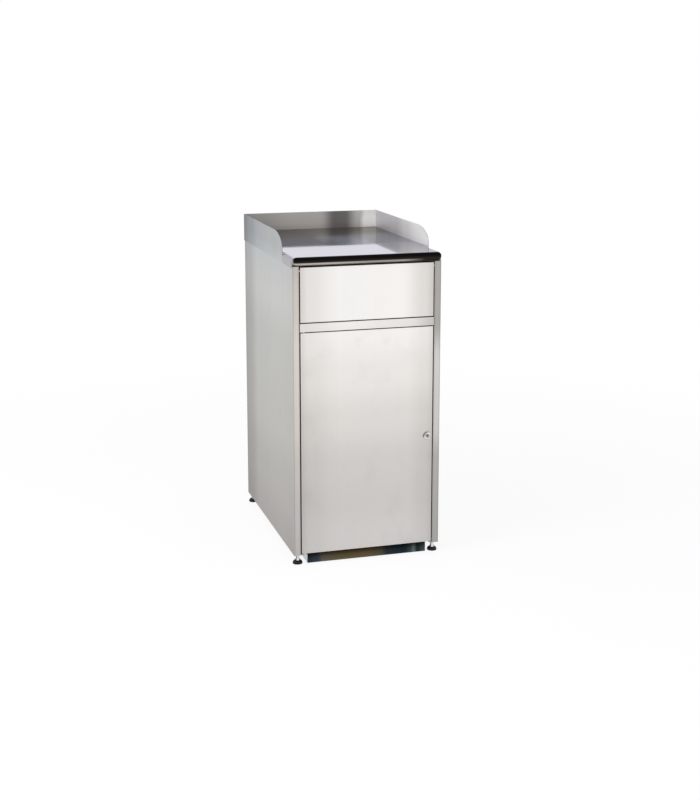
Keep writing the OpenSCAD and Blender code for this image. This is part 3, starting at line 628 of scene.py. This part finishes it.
wash(gallery_steel, "z", *wall_z, [(0.0, (142, 142, 143)), (1.0, (142, 142, 143))],
     looks="+z")
gallery = piece_from("gallery", 0.0003, gallery_steel)
outer_steel = brushed("satin_gallery_outer_steel", paint(222, 222, 222), 0.42, "x",
                      metallic=0.75, smear=0.02)
# Painted reflections on the outer faces: the left wing darkens steeply to the back and is palest
# at its foot, the right wing darkens a little to the back, and the rear face is palest in the
# middle.
wash(outer_steel, "y", *wing_y,
     [(0.0, (168, 171, 171)), (0.3, (163, 167, 169)), (0.6, (153, 158, 161)),
      (0.8, (130, 134, 139)), (1.0, (98, 101, 107))], looks="-x")
wash(outer_steel, "y", *wing_y,
     [(0.0, (182, 184, 184)), (0.6, (172, 176, 178)), (1.0, (150, 152, 156))], looks="+x")
wash(outer_steel, "x", *wall_x, [(0.0, (180, 181, 182)), (0.5, (198, 198, 197)),
                                 (1.0, (180, 181, 182))], looks="+y")
wash(outer_steel, "z", 0.987, 1.035, [(0.0, (238, 238, 237)), (0.4, (232, 232, 232)),
                                      (1.0, (222, 222, 222))], looks="-x")
edge_steel = brushed("painted_dark_gallery_edge_steel", paint(104, 103, 103), 0.4, "x", metallic=0.5)
gallery.data.materials.append(outer_steel)
gallery.data.materials.append(edge_steel)
# The wings' thin top and front edges take the dark steel, painted dark in place of their
# reflection.
outside, dark_edge = 1, 2
inner_x, outer_x, outer_y, wing_end_y = 0.249, 0.2512, back - 0.0003, back - 0.01
for face in gallery.data.polygons:
    aside, depth = abs(face.center.x), face.center.y
    if abs(face.normal.x) < 0.5 and aside > inner_x and depth < wing_end_y:
        face.material_index = dark_edge
    elif aside > outer_x or depth > outer_y:
        face.material_index = outside

# Flap: a folded tray of satin sheet with a liner spot welded behind it. It hangs on two
# shoulder pins in nylon bushes and shuts by its own weight against rubber buffers.


def frame_loop(x0, x1, z0, z1, r, across, up):
    """Points round a rectangle with round corners, as many for every size."""
    corners = [(x1 - r, z0 + r, -90), (x1 - r, z1 - r, 0), (x0 + r, z1 - r, 90),
               (x0 + r, z0 + r, 180)]
    points = []
    for k, (cx, cz, start) in enumerate(corners):
        for step in range(4):
            a = radians(start + 30 * step)
            points.append((cx + r * cos(a), cz + r * sin(a)))
        last = points[-1]
        nx, nz, turn_to = corners[(k + 1) % 4]
        goal = (nx + r * cos(radians(turn_to)), nz + r * sin(radians(turn_to)))
        count = across if k % 2 else up
        for j in range(1, count):
            t = j / count
            points.append((last[0] + (goal[0] - last[0]) * t, last[1] + (goal[1] - last[1]) * t))
    return points


sheet, fold = 0.0012, 0.0018


def tray(name, box, wave, across, up):
    """A door or flap skin: a face with rounded folds and returns to the rear. The face bows
    in by a hair, as thin sheet does, but not within calm of its folds."""
    (x0, y0, z0), (x1, y1, z1) = box
    bm = bmesh.new()
    calm, chamfer, least_r = 0.11, 0.0003, 0.0002
    inset = fold + 0.003
    cells = []
    for row in range(up + 1):
        z = z0 + inset + (z1 - z0 - 2 * inset) * row / up
        line = []
        for column in range(across + 1):
            x = x0 + inset + (x1 - x0 - 2 * inset) * column / across
            near = min(x - x0 - inset, x1 - inset - x, z - z0 - inset, z1 - inset - z)
            near = max(0.0, min(1.0, near / calm))
            swell = sin(9.1 * x + 1.3) * sin(7.3 * z + 0.6) + 0.4 * sin(15.0 * x + 9.0 * z)
            sink = wave * (0.5 + 0.35 * swell) * near * near * (3 - 2 * near)
            line.append(bm.verts.new((x, y0 + sink, z)))
        cells.append(line)
    for low, high in zip(cells, cells[1:]):
        for k in range(across):
            bm.faces.new((low[k], low[k + 1], high[k + 1], high[k]))
    rows = [(fold, y0)]
    rows += [(fold - fold * cos(radians(a)), y0 + fold - fold * sin(radians(a)))
             for a in (75, 60, 45, 30, 15, 0)]
    rows += [(0.0, y1 - chamfer), (chamfer, y1), (sheet - chamfer, y1),
             (sheet, y1 - chamfer)]
    inner_r = max(fold - sheet, 0.0004)
    inner = sheet + inner_r
    rows += [(inner - inner_r * cos(radians(a)), y0 + inner - inner_r * sin(radians(a)))
             for a in (0, 45, 90)]
    rings = []
    for move, y in rows:
        loop = frame_loop(x0 + move, x1 - move, z0 + move, z1 - move,
                          max(fold + chamfer - move, least_r), across, up)
        rings.append([bm.verts.new((x, y, z)) for x, z in loop])
    edge = [[cells[r][-1] for r in range(up + 1)], cells[-1][::-1],
            [cells[r][0] for r in range(up, -1, -1)], cells[0][:]]
    start = 0
    for side in edge:
        for k in range(3):
            bm.faces.new((side[0], rings[0][start + k], rings[0][start + k + 1]))
        start += 3
        for k in range(len(side) - 1):
            after = rings[0][(start + k + 1) % len(rings[0])]
            bm.faces.new((side[k], rings[0][start + k], after, side[k + 1]))
        start += len(side) - 1
    count = len(rings[0])
    for first, second in zip(rings, rings[1:]):
        for k in range(count):
            n = (k + 1) % count
            bm.faces.new((first[k], first[n], second[n], second[k]))
    bm.faces.new(rings[-1])
    return put_in(bm, name, 40)


def carve(piece, cutter):
    """Cuts the cutter's shape out of the piece, and drops the cutter."""
    cut = piece.modifiers.new("cut", "BOOLEAN")
    cut.object = cutter
    cut.solver = "EXACT"
    bpy.context.view_layer.update()
    shape = bpy.data.meshes.new_from_object(
        piece.evaluated_get(bpy.context.evaluated_depsgraph_get()))
    piece.modifiers.remove(cut)
    shape.name = piece.data.name
    piece.data = shape
    bpy.data.objects.remove(cutter)


flap_low, flap_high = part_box("flap_skin")
into_gap = (front + 0.0012, front + 0.0035)
flap_steel = brushed("satin_flap_steel", paint(243, 239, 236), 0.36, "z", metallic=0.6,
                     streak=0.012, blotch=0.012, smear=0.015)
# Painted shade: the flap darkens towards its left and right edges by the posts, and its folded
# edges darken as they turn back into the gap.
wash(flap_steel, "x", flap_low[0], flap_high[0],
     [(0.0, (212, 206, 202)), (0.06, (226, 221, 217)), (0.3, (241, 238, 235)),
      (0.75, (243, 239, 236)), (0.93, (222, 217, 213)), (1.0, (206, 201, 196))])
wash(flap_steel, "y", *into_gap, [(0.0, (243, 240, 237)), (1.0, (92, 84, 80))])
flap = tray("flap_skin_sheet", (flap_low, flap_high), 0.0003, 24, 12)

# Above the pins the flap is cut back to a shallow top return, which swings past the rail.

half_open, pivot_z = 0.23, 0.9758
cut_y, cut_z = (front + 0.016, front + 0.03), (pivot_z + 0.004, 0.999)
carve(flap, block("cutter", -half_open, half_open, *cut_y, *cut_z))
dressed(flap, flap_steel, "flap", "flap_skin")
piece_from("flap_liner", 0.0003, inside_steel, "flap")
nylon, nylon_patches = mottled("white_nylon", paint(222, 219, 208), paint(240, 238, 230),
                               ((120.0, 120.0, 120.0), 2.0), 0.42)
nylon.node_tree.nodes["Principled BSDF"].inputs["Subsurface Weight"].default_value = 0.1
raised(nylon.node_tree, nylon_patches, 0.1, 0.0002)
for side in ("left", "right"):
    piece_from("flap_bush_" + side, 0.0006, nylon, "flap")
    piece_from("flap_pin_" + side, 0.0004, plated)
piece_from("flap_buffers", 0.0004, rubber, "flap")

# Door: a folded tray with a liner let in behind and two hat channels between them. It
# turns on pins at the left, top and bottom, and shuts on buffers behind the right post.

door_low, door_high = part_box("door_skin")
door_steel = brushed("satin_door_steel", paint(242, 238, 235), 0.38, "z", metallic=0.6,
                     streak=0.014, blotch=0.025, smear=0.045)
# Painted light and shade: the door is brightest at the top and darker towards the bottom as
# painted reflection, darker towards its sides as painted shade, and its folded edges darken into
# the gap as painted shade.
wash(door_steel, "z", door_low[2], door_high[2],
     [(0.0, (206, 202, 199)), (0.06, (207, 202, 200)), (0.22, (202, 198, 195)),
      (0.4, (206, 202, 199)), (0.6, (219, 215, 211)), (0.8, (233, 229, 225)),
      (1.0, (242, 238, 235))])
wash(door_steel, "x", door_low[0], door_high[0],
     [(0.0, (218, 213, 210)), (0.06, (230, 226, 222)), (0.3, (241, 237, 234)),
      (0.8, (242, 238, 235)), (0.94, (233, 229, 225)), (1.0, (222, 218, 214))])
wash(door_steel, "y", *into_gap, [(0.0, (242, 239, 236)), (1.0, (92, 84, 80))])
door = tray("door_skin_sheet", (door_low, door_high), 0.0005, 24, 36)

# The face is bored for the lock, and the top and bottom returns for the pins.

lock_at, pins_at = (0.207, front, 0.4065), (-0.2124, front + 0.008, 0.0)
lock_hole_r, pin_hole_r = 0.0096, 0.007
carve(door, turned("cutter", [(0.0, -0.01), (lock_hole_r, -0.01), (lock_hole_r, 0.01),
                              (0.0, 0.01)], lock_at, axis="y"))
carve(door, turned("cutter", [(0.0, -0.06), (pin_hole_r, -0.06), (pin_hole_r, 1.0),
                              (0.0, 1.0)], pins_at))
dressed(door, door_steel, "door", "door_skin")
piece_from("door_liner", 0.0003, inside_steel, "door")
piece_from("door_stiffeners", 0.0003, zinc, "door")
for end in ("top", "bottom"):
    piece_from("door_pivot_block_" + end, 0.0006, nylon, "door")
    piece_from("door_pin_" + end, 0.0004, plated)
    piece_from("door_stop_" + end, 0.0003, inside_steel)
piece_from("door_buffers", 0.0005, rubber)

# Lock: a nickel plated cam lock through the door, held by a hexagon nut behind. The plug
# has a keyway, and turns the cam behind the strike on the right post.

nickel = brushed("nickel_lock", paint(232, 232, 230), 0.14, "z", relief=0.03, smear=0.08)
nickel_tree = nickel.node_tree
nickel_base = nickel_tree.nodes["Principled BSDF"].inputs["Base Color"]
# Painted shade: faces of the lock that look up and to the left, mostly the rim of the flange,
# are painted dark.
rim_way = nickel_tree.nodes.new("ShaderNodeVectorMath")
rim_way.operation = "DOT_PRODUCT"
link(nickel_tree, place_on(nickel_tree, "Normal"), rim_way.inputs[0])
rim_way.inputs[1].default_value = (-0.76, 0.0, 0.65)
rim_dark = risen(nickel_tree, rim_way.outputs["Value"], 0.2, 0.6)
link(nickel_tree, mixed(nickel_tree, rim_dark, nickel_base.links[0].from_socket,
                        paint(88, 82, 80)), nickel_base)
barrel_in, barrel_out, barrel_end = 0.0061, 0.0095, 0.026
barrel_profile = [(barrel_in, barrel_end), (barrel_in, -0.0019), (0.0066, -0.0014),
                  (0.0072, -0.0014), (0.0079, -0.0023), (0.0086, -0.0025),
                  (0.0094, -0.0024), (0.0105, -0.0019), (0.0114, -0.0012),
                  (0.0119, -0.0006), (0.012, 0.0), (barrel_out, 0.0)]
thread_y, thread_end, barrel_pitch, thread_deep = 0.003, 0.0252, 0.001, 0.0004
while thread_y < thread_end:
    barrel_profile += [(barrel_out, thread_y), (barrel_out - thread_deep, thread_y + 0.0004),
                       (barrel_out, thread_y + 0.0008)]
    thread_y += barrel_pitch
barrel_profile += [(barrel_out - thread_deep, barrel_end), (barrel_in, barrel_end)]
dressed(turned("lock_barrel_turned", barrel_profile, lock_at, axis="y"),
        nickel, "door", "lock_barrel")
piece_from("lock_nut", 0.0005, nickel, "door")
plug_metal = brushed("nickel_plug", paint(232, 232, 230), 0.16, "z", relief=0.03, smear=0.08)
plug_face, keyway_floor, plug_end = front - 0.0021, front - 0.0013, front + 0.01
# Painted shade: the plug is painted darker into its keyway.
wash(plug_metal, "y", plug_face, keyway_floor, [(0.0, (148, 144, 140)), (1.0, (36, 33, 32))],
     part=("y", -1.0, plug_end))
piece_from("lock_plug", 0.0002, plug_metal, "lock_core")
piece_from("lock_cam", 0.0003, zinc, "lock_core")
piece_from("lock_cam_screw", 0.0004, zinc, "lock_core")
piece_from("lock_strike", 0.0003, zinc)

# Studio: a pale floor that fades into a white backdrop, soft light from all round, and two
# wide lamps, one in front and one at the left. The camera stands as the photograph's did.


def seen_straight(tree):
    """1 for the rays of the camera, of gloss and of glass, which see the white backdrop."""
    rays = tree.nodes.new("ShaderNodeLightPath")
    seen = math_node(tree, "MAXIMUM", rays.outputs["Is Camera Ray"],
                     rays.outputs["Is Glossy Ray"])
    return math_node(tree, "MAXIMUM", seen, rays.outputs["Is Transmission Ray"])


def one_or_other(tree, share, first, second, end):
    """The first shader, or the second where share is 1."""
    mix = tree.nodes.new("ShaderNodeMixShader")
    link(tree, share, mix.inputs[0])
    link(tree, first.outputs[0], mix.inputs[1])
    link(tree, second.outputs[0], mix.inputs[2])
    link(tree, mix.outputs[0], tree.nodes[end].inputs["Surface"])


reach = 14.0
floor_mesh = bpy.data.meshes.new("floor")
floor_mesh.from_pydata([(-reach, -reach, 0), (reach, -reach, 0), (reach, reach, 0),
                        (-reach, reach, 0)], [], [(0, 1, 2, 3)])
floor = bpy.data.objects.new("floor", floor_mesh)
bpy.context.collection.objects.link(floor)
floor_paper = bpy.data.materials.new("white_paper")
floor_paper.use_nodes = True
floor_tree = floor_paper.node_tree
floor_shader = floor_tree.nodes["Principled BSDF"]
floor_shader.inputs["Base Color"].default_value = (0.9, 0.9, 0.9, 1.0)
floor_shader.inputs["Roughness"].default_value = 0.9
floor_shader.inputs["Specular IOR Level"].default_value = 0.1
glow = floor_tree.nodes.new("ShaderNodeEmission")
glow.inputs["Strength"].default_value = 1.0
away = floor_tree.nodes.new("ShaderNodeVectorMath")
away.operation = "LENGTH"
link(floor_tree, floor_tree.nodes.new("ShaderNodeNewGeometry").outputs["Position"],
     away.inputs[0])
fading = risen(floor_tree, away.outputs["Value"], 0.8, 3.2, 0.88, 1.0)
fading.node.interpolation_type = "SMOOTHSTEP"
glowing = math_node(floor_tree, "MULTIPLY", seen_straight(floor_tree), fading)
one_or_other(floor_tree, glowing, floor_shader, glow, "Material Output")
floor_mesh.materials.append(floor_paper)

world = bpy.data.worlds.new("studio")
bpy.context.scene.world = world
world.use_nodes = True
sky = world.node_tree
soft = sky.nodes.new("ShaderNodeBackground")
soft.inputs["Color"].default_value = (0.9, 0.9, 0.92, 1.0)
soft.inputs["Strength"].default_value = 0.8
backdrop = sky.nodes["Background"]
backdrop.inputs["Color"].default_value = (1.0, 1.0, 1.0, 1.0)
backdrop.inputs["Strength"].default_value = 1.0
one_or_other(sky, seen_straight(sky), soft, backdrop, "World Output")

for name, wide, tall, watts, place, lean, swing in (
        ("key", 2.0, 1.6, 30.0, (-0.6, -3.2, 2.4), 62, -11),
        ("fill", 2.2, 1.8, 62.0, (-3.0, -0.9, 2.1), 68, -75)):
    lamp_data = bpy.data.lights.new(name, "AREA")
    lamp_data.shape = "RECTANGLE"
    lamp_data.size = wide
    lamp_data.size_y = tall
    lamp_data.energy = watts
    lamp = bpy.data.objects.new(name, lamp_data)
    bpy.context.collection.objects.link(lamp)
    lamp.location = place
    lamp.rotation_euler = (radians(lean), 0.0, radians(swing))
    lamp.visible_glossy = False

camera_data = bpy.data.cameras.new("camera")
camera_data.lens = 62.3
camera_data.sensor_width = 36.0
camera_data.shift_y = -0.1
camera = bpy.data.objects.new("camera", camera_data)
bpy.context.collection.objects.link(camera)
camera.location = (-1.284, -4.555, 1.637)
camera.rotation_euler = (radians(90 - 10.69), 0.0, radians(-16.25))
bpy.context.scene.camera = camera
bpy.context.scene.view_settings.view_transform = "Standard"

bpy.context.view_layer.update()
